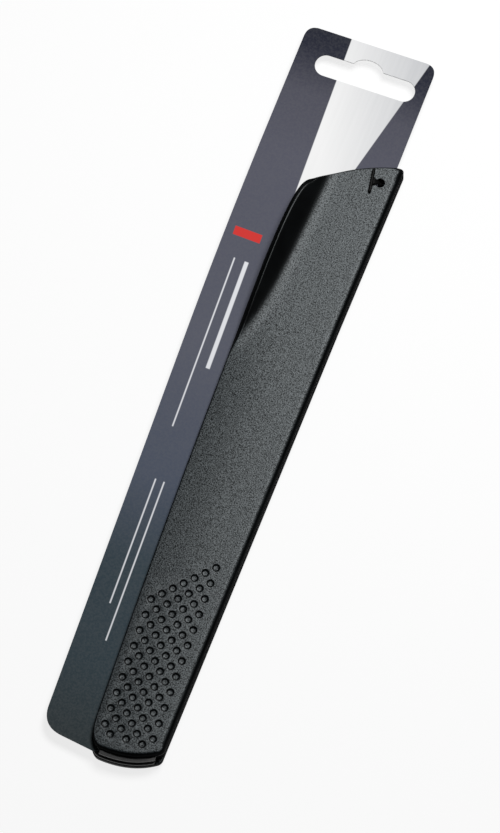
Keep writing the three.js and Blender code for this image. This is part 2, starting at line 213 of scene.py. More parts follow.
def insideLoop(points, loop):
    points, loop = np.atleast_2d(points), np.asarray(loop)
    ahead = np.roll(loop, -1, 0)
    x, y = points[:, :1], points[:, 1:]
    crosses = (loop[:, 1] > y) != (ahead[:, 1] > y)
    with np.errstate(divide="ignore", invalid="ignore"):
        at = loop[:, 0] + (y - loop[:, 1]) * (ahead[:, 0] - loop[:, 0]) / (ahead[:, 1] - loop[:, 1])
    return (crosses & (x < at)).sum(1) % 2 == 1


def addRing(bm, flat, height):
    height = np.broadcast_to(height, len(flat))
    return [bm.verts.new((x, y, z)) for (x, y), z in zip(flat, height)]


def bridge(bm, low, high):
    for i in range(len(low)):
        j = (i + 1) % len(low)
        bm.faces.new((low[i], low[j], high[j], high[i]))


def bridgeAll(bm, rings):
    for low, high in zip(rings, rings[1:]):
        bridge(bm, low, high)


def softEdge(soft):  # rows of a small rounded edge: how far in, and how far short of the face
    return [(soft, 0), (soft * 0.3, soft * 0.3), (0, soft)]


# closes a loop with a sheet that runs round its holes and through the given spots
def fillCap(bm, loops, spots=(), heightAt=None):
    rim = [v for loop in loops for v in loop]
    flat = [v.co.xy for v in rim] + [Vector(s) for s in spots]
    edges, start = [], 0
    for loop in loops:
        edges += [(start + i, start + (i + 1) % len(loop)) for i in range(len(loop))]
        start += len(loop)
    spread, _, faces, came, _, _ = delaunay_2d_cdt(flat, edges, [], 1, 1e-5)
    level = rim[0].co.z
    heights = heightAt(np.array([p[:] for p in spread])) if heightAt else np.full(len(spread), level)
    corners = []
    for point, source, height in zip(spread, came, heights):
        known = [s for s in source if s < len(rim)]
        corners.append(rim[known[0]] if known else bm.verts.new((point.x, point.y, height)))
    holes = [np.array([v.co.xy[:] for v in loop]) for loop in loops[1:]]
    middles = np.array([np.mean([spread[i][:] for i in face], 0) for face in faces])
    drop = np.zeros(len(faces), bool)
    for hole in holes:
        drop |= insideLoop(middles, hole)
    for face, unwanted in zip(faces, drop):
        picked = list(dict.fromkeys(corners[i] for i in face))
        if not unwanted and len(picked) > 2:
            bm.faces.new(picked)


# rows of points inside a loop, clear of its edge and of the holes
def innerSpots(loop, step, margin, holes=(), low=None, high=None):
    low = loop.min(0) if low is None else np.array(low)
    high = loop.max(0) if high is None else np.array(high)
    across, along = np.meshgrid(np.arange(low[0], high[0], step), np.arange(low[1], high[1], step))
    spots = np.stack([across.ravel() + 0.31 * step, along.ravel() + 0.17 * step], 1)
    for ring, kept in [(loop, True)] + [(hole, False) for hole in holes]:
        spots = spots[insideLoop(spots, ring) == kept]
        spots = spots[nearest(spots, np.vstack([ring, ring[:1]]))[0] > margin]
    return spots


def addBlock(bm, low, high, soft=0.08):  # a closed block with softened edges, given by two corners
    made = bmesh.ops.create_cube(bm, size=1)["verts"]
    low, high = Vector(low), Vector(high)
    for v in made:
        v.co = Vector(((a + b) / 2 + c * (b - a) for a, b, c in zip(low, high, v.co)))
    edges = list({e for v in made for e in v.link_edges})
    bmesh.ops.bevel(bm, geom=edges, offset=soft, segments=2, affect="EDGES")


def boxLoop(acrossLow, acrossHigh, downLow, downHigh):  # corners of a pocket, as a loop
    return toFrame([
        (acrossHigh, downHigh), (acrossLow, downHigh), (acrossLow, downLow), (acrossHigh, downLow),
    ])


def addPocket(bm, loop, mouth, floor):  # a square-cornered pocket, and the loop where it opens
    rim, end = addRing(bm, loop, mouth), addRing(bm, loop, floor)
    bridge(bm, rim, end)
    bm.faces.new(end)
    return rim


def circle(middle, radius, sides):
    turn = np.arange(sides) * 2 * pi / sides
    return np.asarray(middle) + radius * np.stack([np.cos(turn), np.sin(turn)], 1)


def makeObject(name, bm, material):  # from millimetres to a piece in metres
    bmesh.ops.recalc_face_normals(bm, faces=bm.faces)
    mesh = bpy.data.meshes.new(name)
    bm.to_mesh(mesh)
    bm.free()
    mesh.transform(Matrix.Scale(mm, 4))
    mesh.materials.append(material)
    piece = bpy.data.objects.new(name, mesh)
    scene.collection.objects.link(piece)
    return piece


def keepEvaluated(piece):  # turns the modifiers' result into the piece's own plain mesh
    bpy.context.view_layer.update()
    graph = bpy.context.evaluated_depsgraph_get()
    result = bpy.data.meshes.new_from_object(piece.evaluated_get(graph))
    piece.modifiers.clear()
    piece.data = result
    result.name = piece.name


def dressPiece(piece, body, node, sharp=32):
    piece.data.shade_smooth()
    piece.data.set_sharp_from_angle(angle=radians(sharp))
    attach(piece, body)
    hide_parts(node)
    print("piece", piece.name, len(piece.data.polygons), "faces")


# shader groups that several finishes share
def newGroup(name, inputs, outputs):
    group = bpy.data.node_groups.new(name, "ShaderNodeTree")
    for label, kind, value in inputs:
        socket = group.interface.new_socket(label, in_out="INPUT", socket_type=kind)
        if value is not None:
            socket.default_value = value
    for label, kind in outputs:
        group.interface.new_socket(label, in_out="OUTPUT", socket_type=kind)
    return group, group.nodes.new("NodeGroupInput"), group.nodes.new("NodeGroupOutput")


def addNode(tree, kind, values=(), **settings):
    node = tree.nodes.new(kind)
    for key, value in settings.items():
        setattr(node, key, value)
    for socket, value in dict(values).items():
        if isinstance(value, bpy.types.NodeSocket):
            tree.links.new(value, node.inputs[socket])
        else:
            node.inputs[socket].default_value = value
    return node


def maths(tree, operation, first, second=None):
    values = {0: first} if second is None else {0: first, 1: second}
    return addNode(tree, "ShaderNodeMath", values, operation=operation).outputs[0]


def weighted(tree, first, second):  # sum of two values, each with its own share
    return maths(tree, "ADD", maths(tree, "MULTIPLY", *first), maths(tree, "MULTIPLY", *second))


def remap(tree, value, low, high, newLow=0.0, newHigh=1.0):
    return addNode(tree, "ShaderNodeMapRange", {
        "Value": value, "From Min": low, "From Max": high, "To Min": newLow, "To Max": newHigh,
    }).outputs["Result"]


def mixColour(tree, share, first, second):
    node = addNode(tree, "ShaderNodeMix", data_type="RGBA")
    for index, value in ((0, share), (6, first), (7, second)):
        if isinstance(value, bpy.types.NodeSocket):
            tree.links.new(value, node.inputs[index])
        else:
            node.inputs[index].default_value = value
    return node.outputs[2]


def mouldGrainGroup():  # spark-eroded grain: soft pits with harder flecks between them
    group, given, result = newGroup(
        "mouldGrain",
        [("Vector", "NodeSocketVector", None), ("Scale", "NodeSocketFloat", 2600.0)],
        [("Height", "NodeSocketFloat"), ("Fleck", "NodeSocketFloat")],
    )
    vector, scale = given.outputs["Vector"], given.outputs["Scale"]
    soft = addNode(group, "ShaderNodeTexNoise", {
        "Vector": vector, "Scale": scale, "Detail": 3.0, "Roughness": 0.65,
    }).outputs["Fac"]
    cells = addNode(group, "ShaderNodeTexVoronoi", {
        "Vector": vector, "Scale": maths(group, "MULTIPLY", scale, 0.8),
    }).outputs["Distance"]
    height = weighted(group, (soft, 0.7), (cells, 0.4))
    group.links.new(height, result.inputs["Height"])
    group.links.new(remap(group, soft, 0.38, 0.62), result.inputs["Fleck"])
    return group


def handlingGroup():  # faint cloudy marks left by hands and packing
    group, given, result = newGroup(
        "handlingMarks",
        [("Vector", "NodeSocketVector", None), ("Scale", "NodeSocketFloat", 60.0)],
        [("Mask", "NodeSocketFloat")],
    )
    clouds = addNode(group, "ShaderNodeTexNoise", {
        "Vector": given.outputs["Vector"], "Scale": given.outputs["Scale"],
        "Detail": 4.0, "Roughness": 0.55, "Distortion": 0.6,
    }).outputs["Fac"]
    group.links.new(remap(group, clouds, 0.35, 0.7), result.inputs["Mask"])
    return group


mouldGrain = mouldGrainGroup()
handlingMarks = handlingGroup()


def newFinish(name, **values):  # a material with its shader's plain values set on the shader
    finish = bpy.data.materials.new(name)
    finish.use_nodes = True
    shader = finish.node_tree.nodes["Principled BSDF"]
    for socket, value in values.items():
        shader.inputs[socket.replace("_", " ")].default_value = value
    place = finish.node_tree.nodes.new("ShaderNodeTexCoord").outputs["Object"]
    return finish, finish.node_tree, shader, place


def useGroup(tree, group, vector, scale):
    node = addNode(tree, "ShaderNodeGroup", node_tree=group)
    tree.links.new(vector, node.inputs["Vector"])
    node.inputs["Scale"].default_value = scale
    return node.outputs


def addBump(tree, shader, height, depth, strength=1.0):
    bump = addNode(tree, "ShaderNodeBump", {"Height": height, "Strength": strength, "Distance": depth})
    tree.links.new(bump.outputs["Normal"], shader.inputs["Normal"])


def roughen(tree, shader, mask, look):  # roughness between the finish's two limits
    rough = remap(tree, mask, 0.0, 1.0, look["roughLow"], look["roughHigh"])
    tree.links.new(rough, shader.inputs["Roughness"])


def grey(value):
    return (value, value, value, 1)


shellFinish = {
    "dark": (0.0009, 0.001, 0.0011, 1),
    "pale": (0.035, 0.044, 0.049, 1),
    "coolShine": (0.93, 0.985, 1, 1),
    "grain": 2600.0,
    "depth": 0.00006,
    "marks": 70.0,
    "fleckShare": 0.85,
    "markShare": 0.04,
    "edgeRough": 0.28,
    "faceRough": 0.4,
    "wallRough": 0.45,
    "spread": 0.08,
    "edgeShine": 0.1,
    "faceShine": 0.32,
    "wallDull": 0.95,
    "sparkle": 0.76,
}


# moulded black plastic: the grain attribute says where the mould was eroded and where it was polished; where it
# is low, on slopes, fillets and the raised lip, the colour stays dark and the shine low, which is partly
# painted shade
def makeShellPlastic():
    look = shellFinish
    finish, tree, shader, place = newFinish("shellPlastic", IOR=1.52, Specular_Tint=look["coolShine"])
    erodedUnshaded = addNode(tree, "ShaderNodeAttribute", attribute_name="grain").outputs["Fac"]
    grain = useGroup(tree, mouldGrain, place, look["grain"])
    marks = useGroup(tree, handlingMarks, place, look["marks"])["Mask"]
    # pale flecks go only where the grain attribute is high, so the low places keep the dark colour: partly
    # painted shade
    fleck = maths(tree, "MULTIPLY", grain["Fleck"], erodedUnshaded)
    tone = weighted(tree, (fleck, look["fleckShare"]), (marks, look["markShare"]))
    tree.links.new(mixColour(tree, tone, look["dark"], look["pale"]), shader.inputs["Base Color"])
    wall = addNode(tree, "ShaderNodeAttribute", attribute_name="wall").outputs["Fac"]
    rough = maths(tree, "ADD", remap(tree, erodedUnshaded, 0.0, 1.0, look["edgeRough"], look["faceRough"]),
                  maths(tree, "MULTIPLY", tone, look["spread"]))
    rough = maths(tree, "ADD", rough, maths(tree, "MULTIPLY", wall, look["wallRough"]))
    tree.links.new(rough, shader.inputs["Roughness"])
    # the eroded face glitters in fine specks, and the upright walls hardly shine
    sparkle = remap(tree, grain["Fleck"], 0.0, 1.0, 1 - look["sparkle"], 1 + look["sparkle"])
    shine = maths(tree, "MULTIPLY", maths(tree, "MULTIPLY", erodedUnshaded, look["faceShine"]), sparkle)
    # the smooth places get less shine, which keeps the lip and fillets dark: partly painted shade
    smooth = maths(tree, "MULTIPLY", maths(tree, "SUBTRACT", 1.0, erodedUnshaded), look["edgeShine"])
    dull = maths(tree, "SUBTRACT", 1.0, maths(tree, "MULTIPLY", wall, look["wallDull"]))
    shine = maths(tree, "ADD", shine, maths(tree, "MULTIPLY", smooth, dull))
    tree.links.new(shine, shader.inputs["Specular IOR Level"])
    height = maths(tree, "MULTIPLY", grain["Height"], erodedUnshaded)
    addBump(tree, shader, height, look["depth"])
    return finish


# the liner plastic is a dark grey, and part of its paleness over the shell's black is painted light that lifts
# the shaded ledge and slot at the tip
linerFinish = {
    "dark": 0.034,
    "pale": 0.066,
    "grain": 1800.0,
    "depth": 0.00002,
    "marks": 90.0,
    "fleckShare": 0.5,
    "markShare": 0.4,
    "roughLow": 0.34,
    "roughHigh": 0.44,
}


def makeLinerPlastic():
    look = linerFinish
    finish, tree, shader, place = newFinish("linerPlastic", IOR=1.5, Specular_IOR_Level=0.4)
    grain = useGroup(tree, mouldGrain, place, look["grain"])
    marks = useGroup(tree, handlingMarks, place, look["marks"])["Mask"]
    tone = weighted(tree, (grain["Fleck"], look["fleckShare"]), (marks, look["markShare"]))
    tree.links.new(mixColour(tree, tone, grey(look["dark"]), grey(look["pale"])), shader.inputs["Base Color"])
    roughen(tree, shader, tone, look)
    addBump(tree, shader, grain["Height"], look["depth"])
    return finish


shellPlastic = makeShellPlastic()
linerPlastic = makeLinerPlastic()


tagFinish = {
    "dark": 0.002,
    "pale": 0.006,
    "grain": 4000.0,
    "depth": 0.00003,
    "bump": 0.5,
    "marks": 900.0,
    "roughLow": 0.34,
    "roughHigh": 0.46,
}


def makeTagNylon():
    look = tagFinish
    finish, tree, shader, place = newFinish("tagNylon", IOR=1.53, Specular_IOR_Level=0.04)
    marks = useGroup(tree, handlingMarks, place, look["marks"])["Mask"]
    tree.links.new(mixColour(tree, marks, grey(look["dark"]), grey(look["pale"])), shader.inputs["Base Color"])
    roughen(tree, shader, marks, look)
    grain = useGroup(tree, mouldGrain, place, look["grain"])
    addBump(tree, shader, grain["Height"], look["depth"], look["bump"])
    return finish


def brushed(tree, place, stretch, scale, detail):  # streaks along the piece
    turned = addNode(tree, "ShaderNodeMapping", {"Vector": place, "Scale": (1.0, stretch, 1.0)})
    noise = addNode(tree, "ShaderNodeTexNoise", {
        "Vector": turned.outputs["Vector"], "Scale": scale, "Detail": detail})
    return noise.outputs["Fac"]


platingFinish = {
    "dark": (0.5, 0.5, 0.48, 1),
    "pale": (0.68, 0.68, 0.66, 1),
    "streaks": 2200.0,
    "stretch": 0.08,
    "marks": 160.0,
    "streakShare": 0.6,
    "markShare": 0.4,
    "roughLow": 0.2,
    "roughHigh": 0.38,
}


def makeMagnetPlating():
    look = platingFinish
    finish, tree, shader, place = newFinish("magnetPlating", Metallic=1.0)
    streaks = brushed(tree, place, look["stretch"], look["streaks"], 3.0)
    marks = useGroup(tree, handlingMarks, place, look["marks"])["Mask"]
    tone = weighted(tree, (streaks, look["streakShare"]), (marks, look["markShare"]))
    tree.links.new(mixColour(tree, tone, look["dark"], look["pale"]), shader.inputs["Base Color"])
    roughen(tree, shader, tone, look)
    return finish


tagNylon = makeTagNylon()
magnetPlating = makeMagnetPlating()
print("finishes made")

# the hang hole goes through the front half, and the card has a notch under it
hangHole = {"across": 5.2, "down": 5.95, "diameter": 2.8, "sides": 40}
holeMiddle = toFrame((hangHole["across"], hangHole["down"]))

# magnet pockets, shared by both halves
magnets = {
    "across": 13.2,
    "firstDown": 40.0,
    "pitch": 31.0,
    "count": 4,
    "length": 18.0,
    "width": 8.0,
    "thickness": 1.0,
    "clearance": 0.15,
}


def magnetLoops():
    halfWidth = magnets["width"] / 2 + magnets["clearance"]
    halfLength = magnets["length"] / 2 + magnets["clearance"]
    downs = [magnets["firstDown"] + i * magnets["pitch"] for i in range(magnets["count"])]
    across = magnets["across"]
    return [boxLoop(across - halfWidth, across + halfWidth, d - halfLength, d + halfLength) for d in downs]


# the lifted lip runs round the shoulder and down the open side
lip = {
    "width": 12.7,
    "taper": 0.058,
    "end": 80.0,
    "endPower": 6,
    "bend": 5.0,
    "slope": 0.5,
    "crestInset": 1.35,
    "crestSoftness": 0.22,
    "bevelDrop": 0.9,
    "bevelStart": 0.3,
    "bevelEasing": 1.5,
    "linerShare": 0.85,
    "fineAcross": 13.0,
}
# the part of the plate that bends with the lip, and gets closer rows of points
lipLow, lipHigh = toFrame([(guardShape["heelWidth"] + 1, lip["end"] + 6), (lip["fineAcross"], 0)])
outerLoop, outerEdges = guardOutline()
onRim = (outerEdges == openEdge) | ((outerEdges == heelEdge) & (outerLoop[:, 0] >= shoulderStart[0]))


def openGap(flat):  # distance from the open side's line, and down from the heel corner
    across, down = (np.array([closedX, heelY]) - np.atleast_2d(flat)).T
    return openAcross(down) - across, down


def insideLip(flat):  # how far a place lies inside the lip, which narrows from the heel to its end
    gap, down = openGap(flat)
    width = (lip["width"] - lip["taper"] * down) * (1 - np.clip(down / lip["end"], 0, 1) ** lip["endPower"])
    return np.maximum(0, width - np.maximum(gap, lip["crestInset"]))


def lipLift(flat):  # height of the lip over the flat face: a soft bend, then a straight slope
    inside = insideLip(flat)
    bent = np.minimum(inside, lip["bend"])
    return lip["slope"] * (bent ** 2 / (2 * lip["bend"]) + inside - bent)


# below the lip the face falls off a little towards the open side
crown = {"drop": 1.2, "width": 18.0, "start": 45.0, "full": 95.0}


def faceLift(flat):  # height of the outer face over the flat plate
    gap, down = openGap(flat)
    share = np.clip(1 - gap / crown["width"], 0, 1)
    return lipLift(flat) - crown["drop"] * share ** 2 * smoothstep(down, crown["start"], crown["full"])


# round grip dimples sunk in the face near the tip, in staggered rows that run with the open side
dimples = {
    "diameter": 2.5,
    "depth": 0.4,
    "rimSoft": 0.03,
    "collar": 0.2,
    "sides": 20,
    "rings": 9,
    "pitch": 5.35,
    "rowPitch": 5.45,
    "columns": 4,
    "fullRows": 9,
    "openMargin": 4.1,
    "tipMargin": 8.6,
}
dimpleReach = dimples["diameter"] / 2 + dimples["collar"]


def dimplePlaces():
    slope = (guardShape["heelWidth"] - guardShape["tipWidth"]) / (tipCornerDown - shoulderDown)
    firstDown = tipLow - dimples["tipMargin"] - (dimples["fullRows"] - 1) * dimples["rowPitch"]
    firstAcross = openAcross(firstDown) - dimples["openMargin"]
    places = []
    for row in range(-2 * (dimples["columns"] - 1), 2 * dimples["fullRows"]):
        between = row % 2
        runDown = row * dimples["rowPitch"] / 2
        for column in range(dimples["columns"] - between):
            halves = 2 * column + between
            if halves >= -row:  # the slanted start loses half a column a row
                sideways = halves * dimples["pitch"] / 2
                across = firstAcross - slope * runDown - sideways
                places.append((across, firstDown + runDown - slope * sideways))
    return toFrame(places)


# one bowl is turned from a cone, set on every spot and joined to the shell, whose holes it closes
def dimpleTree():
    tree = bpy.data.node_groups.new("gripDimples", "GeometryNodeTree")
    tree.interface.new_socket("Geometry", in_out="INPUT", socket_type="NodeSocketGeometry")
    for label, kind in (
        ("Spots", "Object"), ("Diameter", "Float"), ("Depth", "Float"), ("Rim Softness", "Float"),
        ("Reach", "Float"), ("Sides", "Int"), ("Rings", "Int"), ("Finish", "Material"),
    ):
        tree.interface.new_socket(label, in_out="INPUT", socket_type="NodeSocket" + kind)
    tree.interface.new_socket("Geometry", in_out="OUTPUT", socket_type="NodeSocketGeometry")
    given, result = tree.nodes.new("NodeGroupInput").outputs, tree.nodes.new("NodeGroupOutput")
    cone = addNode(tree, "GeometryNodeMeshCone", {
        "Vertices": given["Sides"], "Side Segments": given["Rings"],
        "Radius Top": 0.0, "Radius Bottom": 1.0, "Depth": 1.0}, fill_type="NONE")
    position = addNode(tree, "GeometryNodeInputPosition").outputs[0]
    at = addNode(tree, "ShaderNodeSeparateXYZ", {0: position}).outputs
    share = maths(tree, "SUBTRACT", 1.0, at["Z"])  # of the reach, from the middle out
    run = maths(tree, "DIVIDE", maths(tree, "MULTIPLY", share, given["Reach"]), given["Diameter"])
    bowl = maths(tree, "SUBTRACT", 1.0, maths(tree, "POWER", maths(tree, "MULTIPLY", run, 2.0), 4.0))
    bowl = maths(tree, "MULTIPLY", bowl, given["Depth"])
    reachSquared = maths(tree, "ADD", maths(tree, "MULTIPLY", bowl, bowl),
                         maths(tree, "MULTIPLY", given["Rim Softness"], given["Rim Softness"]))
    sunk = maths(tree, "MULTIPLY", maths(tree, "ADD", bowl, maths(tree, "SQRT", reachSquared)), -0.5)
    spread = addNode(tree, "ShaderNodeCombineXYZ", {
        "X": maths(tree, "MULTIPLY", at["X"], given["Reach"]),
        "Y": maths(tree, "MULTIPLY", at["Y"], given["Reach"]),
        "Z": maths(tree, "MULTIPLY", sunk, maths(tree, "LESS_THAN", share, 0.95)),
    })
    shaped = addNode(tree, "GeometryNodeSetPosition", {
        "Geometry": cone.outputs["Mesh"], "Position": spread.outputs[0]})
    spots = addNode(tree, "GeometryNodeObjectInfo", {"Object": given["Spots"]})
    rows = addNode(tree, "GeometryNodeInstanceOnPoints", {
        "Points": spots.outputs["Geometry"], "Instance": shaped.outputs["Geometry"]})
    both = addNode(tree, "GeometryNodeJoinGeometry")
    tree.links.new(given["Geometry"], both.inputs[0])
    tree.links.new(rows.outputs["Instances"], both.inputs[0])
    solid = addNode(tree, "GeometryNodeRealizeInstances", {"Geometry": both.outputs[0]})
    joined = addNode(tree, "GeometryNodeMergeByDistance", {
        "Geometry": solid.outputs["Geometry"], "Distance": 0.000004})
    done = addNode(tree, "GeometryNodeSetMaterial", {
        "Geometry": joined.outputs["Geometry"], "Material": given["Finish"]})
    tree.links.new(done.outputs["Geometry"], result.inputs["Geometry"])
    return tree


def sinkDimples(piece):
    spots = bpy.data.meshes.new("dimpleSpots")
    places = dimplePlaces()
    levels = guardShape["thickness"] + faceLift(places)
    spots.from_pydata([(x * mm, y * mm, z * mm) for (x, y), z in zip(places, levels)], [], [])
    marker = bpy.data.objects.new("dimpleSpots", spots)
    scene.collection.objects.link(marker)
    tree = dimpleTree()
    modifier = piece.modifiers.new("gripDimples", "NODES")
    modifier.node_group = tree
    names = {item.name: item.identifier for item in tree.interface.items_tree if item.in_out == "INPUT"}
    for label, value in (
        ("Spots", marker), ("Diameter", dimples["diameter"] * mm), ("Depth", dimples["depth"] * mm),
        ("Rim Softness", dimples["rimSoft"] * mm), ("Reach", dimpleReach * mm),
        ("Sides", dimples["sides"]), ("Rings", dimples["rings"]), ("Finish", shellPlastic),
    ):
        modifier[names[label]] = value
    keepEvaluated(piece)
    bpy.data.objects.remove(marker)
    print("dimples sunk:", len(places))


# edge rounding of the front half, for the closed edge, heel, open side and tip
frontShell = {
    "round": (1.5, 0.4, 0.35, 1.5),
    "closedRun": 2.4,
    "cornerRound": 1.2,
    "easing": 1.2,
    "turnEasing": 4.2,
    "heelRun": 1.2,
    "heelSpread": 2.6,
    "support": 0.25,
    "spotStep": 6.0,
    "lipStep": 0.9,
    "underStep": 1.6,
    "holeSoft": 0.16,
    "holeCollar": 0.2,
}
cornerGrowth = {"clear": 1.6, "slope": 0.5}  # how the rounding grows away from the tip's closed corner


def edgeRounds(loop, edges, rounds, cornerRound, easing):
    turned = (edges == heelEdge) & (loop[:, 0] < guardShape["heelCorner"])  # the rounding goes round the corner
    size = np.array(rounds)[np.where(turned, closedEdge, edges)].astype(float)
    past = smoothstep(guardShape["tipWidth"] - loop[:, 0], 0, guardShape["tipCornerWidth"])
    size = np.where(edges == tipEdge, rounds[openEdge] + (rounds[tipEdge] - rounds[openEdge]) * past, size)
    corner = np.linalg.norm(loop - (0, guardShape["closedLength"]), axis=1)
    size = eased(size, loop, easing)
    return np.minimum(size, cornerRound + np.maximum(0, corner - cornerGrowth["clear"]) * cornerGrowth["slope"])


def buildFrontShell():
    bm = bmesh.new()
    flat = toFrame(outerLoop)
    turning = [eased(side, outerLoop, frontShell["turnEasing"]) for side in inward(flat).T]
    normals = np.stack(turning, 1) / np.hypot(*turning)[:, None]  # turn slowly, so rows don't cross at a corner
    rounds = frontShell["round"]
    size = edgeRounds(outerLoop, outerEdges, rounds, frontShell["cornerRound"], frontShell["easing"])
    wider = np.where(outerEdges == closedEdge, frontShell["closedRun"] / rounds[closedEdge], 1.0)
    heelGap = np.linalg.norm(outerLoop - outerLoop[outerEdges == heelEdge][0], axis=1)
    heelCurve = frontShell["heelRun"] * np.exp(-((heelGap / frontShell["heelSpread"]) ** 2))
    reach = size * eased(wider, outerLoop, frontShell["easing"]) + heelCurve
    lifted = np.zeros(len(flat))  # share of the lip's bevel in the edge, from none to all
    lifted[onRim] = smoothstep(insideLip(flat[onRim]), lip["bevelStart"], lip["bend"])
    lifted = eased(lifted, outerLoop, lip["bevelEasing"])
    bottom = addRing(bm, flat, frontInner + lipLift(flat))
    last = bottom
    crest, soft = lip["crestInset"], lip["crestSoftness"]
    slope = lip["bevelDrop"] / crest
    overCrest = crest + soft * np.array([-1, -0.4, 0.2, 0.8, 1.6])
    bevelRuns = np.concatenate([np.linspace(0, crest - 2 * soft, 3), overCrest])

    def bevelDrop(run):
        return slope / 2 * (np.sqrt((crest - run) ** 2 + soft ** 2) + crest - run)

    for step, bevelRun in enumerate(bevelRuns):
        turn = step / (len(bevelRuns) - 1) * pi / 2
        run = (1 - lifted) * reach * (1 - cos(turn)) + lifted * bevelRun
        drop = (1 - lifted) * size * (1 - sin(turn)) + lifted * (bevelDrop(bevelRun) - bevelDrop(bevelRuns[-1]))
        ringFlat = flat + normals * run[:, None]
        ring = addRing(bm, ringFlat, guardShape["thickness"] + faceLift(ringFlat) - drop)
        bridge(bm, last, ring)
        last = ring
    for extra in (1, 2):  # flat support rows, so that the face shades flat
        ringFlat = flat + normals * (run + extra * frontShell["support"])[:, None]
        ring = addRing(bm, ringFlat, guardShape["thickness"] + faceLift(ringFlat))
        bridge(bm, last, ring)
        last = ring

    # bore with a softened mouth
    radius, soft = hangHole["diameter"] / 2, frontShell["holeSoft"]
    turns = np.linspace(0, pi / 2, 5)
    bore = [addRing(bm, circle(holeMiddle, radius, hangHole["sides"]), frontInner)]
    for turn in turns:
        level = guardShape["thickness"] - soft * (1 - sin(turn))
        bore.append(addRing(bm, circle(holeMiddle, radius + soft * (1 - cos(turn)), hangHole["sides"]), level))
    bridgeAll(bm, bore)
    mouth = circle(holeMiddle, radius + soft + frontShell["holeCollar"], hangHole["sides"])
    collar = addRing(bm, mouth, guardShape["thickness"])
    bridge(bm, bore[-1], collar)

    def topAt(points):
        return guardShape["thickness"] + faceLift(points)

    def bottomAt(points):
        return frontInner + lipLift(points)

    inner = np.array([v.co.xy[:] for v in last])
    fine = innerSpots(inner, frontShell["lipStep"], 0.5, [mouth], lipLow, lipHigh)
    rims = [circle(spot, dimpleReach, dimples["sides"]) for spot in dimplePlaces()]
    coarse = innerSpots(inner, frontShell["spotStep"], 1.0, [mouth] + rims)
    coarse = coarse[(coarse[:, 0] > lipHigh[0] + 2) | (coarse[:, 1] < lipLow[1] - 2)]
    levels = guardShape["thickness"] + faceLift(dimplePlaces())
    rims = [addRing(bm, rim, level) for rim, level in zip(rims, levels)]
    fillCap(bm, [last, collar] + rims, np.vstack([fine, coarse]), topAt)

    # underside, with the magnet pockets
    pocketTop = frontInner + magnets["thickness"] + magnets["clearance"]
    pockets = [addPocket(bm, loop, frontInner, pocketTop) for loop in magnetLoops()]
    underStep = frontShell["lipStep"] * frontShell["underStep"]
    under = innerSpots(flat, underStep, 0.8, [mouth], lipLow, lipHigh)
    clear = np.ones(len(under), bool)
    for loop in magnetLoops():
        clear &= ~insideLoop(under, loop)
    fillCap(bm, [bottom, bore[0]] + pockets, under[clear], bottomAt)
    addClosedWall(bm)
    return bm


# the closed edge's wall stands on the back half with a tongue in a groove
closedWall = {
    "footSoft": 0.2,
    "inset": 0.02,
    "rootRows": ((0.02, 0.1), (0.15, 0.4)),  # inset and height of the rows that run into the plate
    "tongueWidth": 0.7,
    "tongueDepth": 0.9,
    "tongueRoot": 0.4,
    "endGap": 6.0,
}


def addClosedWall(bm):
    loop, _ = guardOutline(width=guardShape["wallWidth"])
    flat = toFrame(loop)
    normals = inward(flat)
    foot = guardShape["backPlate"] + guardShape["glueGap"]
    rows = [(max(run, closedWall["inset"]), foot + rise) for run, rise in softEdge(closedWall["footSoft"])]
    rows += [(run, frontInner + rise) for run, rise in closedWall["rootRows"]]
    rings = [addRing(bm, flat + normals * run, level) for run, level in rows]
    bridgeAll(bm, rings)
    fillCap(bm, [rings[0]])
    fillCap(bm, [rings[-1]])
    middle, half = guardShape["wallWidth"] / 2, closedWall["tongueWidth"] / 2
    end = guardShape["closedLength"] - closedWall["endGap"]
    low, high = toFrame([(middle + half, end), (middle - half, closedWall["endGap"])])
    tongueLow = guardShape["backPlate"] - closedWall["tongueDepth"]
    addBlock(bm, (*low, tongueLow), (*high, foot + closedWall["tongueRoot"]))


grainAndShadeMask = {
    "flat": 0.93,
    "flatFade": 0.06,
    "below": 0.0025,
    "lipFade": 0.0006,
    "wall": 0.85,
    "wallFade": 0.4,
    "backEnds": 0.3,
}


def flatness(upward):  # from sloped to flat
    return np.clip((upward - grainAndShadeMask["flat"]) / grainAndShadeMask["flatFade"], 0, 1)


def markGrainAndShade(piece, side):  # where the outer face lies flat the mould was eroded, and its walls are dull; slopes and the raised lip get no grain and stay darker, which is partly painted shade
    mesh = piece.data
    normals = np.array([v.normal[:] for v in mesh.vertices])
    heights = np.array([v.co.z for v in mesh.vertices])
    face = guardShape["thickness"] * mm if side > 0 else 0.0
    above = (heights - face) * side
    # the raised lip gets no grain, so its darker colour and lower shine there are painted shade
    offLip = np.clip(1.5 - above / grainAndShadeMask["lipFade"], 0, 1)
    flat = flatness(normals[:, 2] * side) * (above > -grainAndShadeMask["below"]) * offLip
    if side < 0:  # the back half's inner face is eroded too
        inner = np.abs(heights - guardShape["backPlate"] * mm) < 0.00002
        flat = np.maximum(flat, flatness(normals[:, 2]) * inner)
    sideways = normals[:, 0] ** 2 + (1.0 if side > 0 else grainAndShadeMask["backEnds"]) * normals[:, 1] ** 2
    upright = np.clip((grainAndShadeMask["wall"] - np.abs(normals[:, 2])) / grainAndShadeMask["wallFade"], 0, 1)
    wall = upright * np.clip(sideways, 0, 1)
    for name, values in (("grain", flat), ("wall", wall)):
        mesh.attributes.new(name, "FLOAT", "POINT").data.foreach_set("value", values.astype(np.float32))


shellFront = makeObject("frontShell", buildFrontShell(), shellPlastic)
sinkDimples(shellFront)
markGrainAndShade(shellFront, 1)
dressPiece(shellFront, "guard", "front_shell")

# back half: a plain plate that runs past the front half at the tip
backShell = {
    "tipReach": 1.8,
    "round": (0.8, 0.5, 0.5, 0.6),
    "cornerRound": 0.8,
    "easing": 2.2,
    "support": 0.3,
    "innerSoft": 0.15,
}


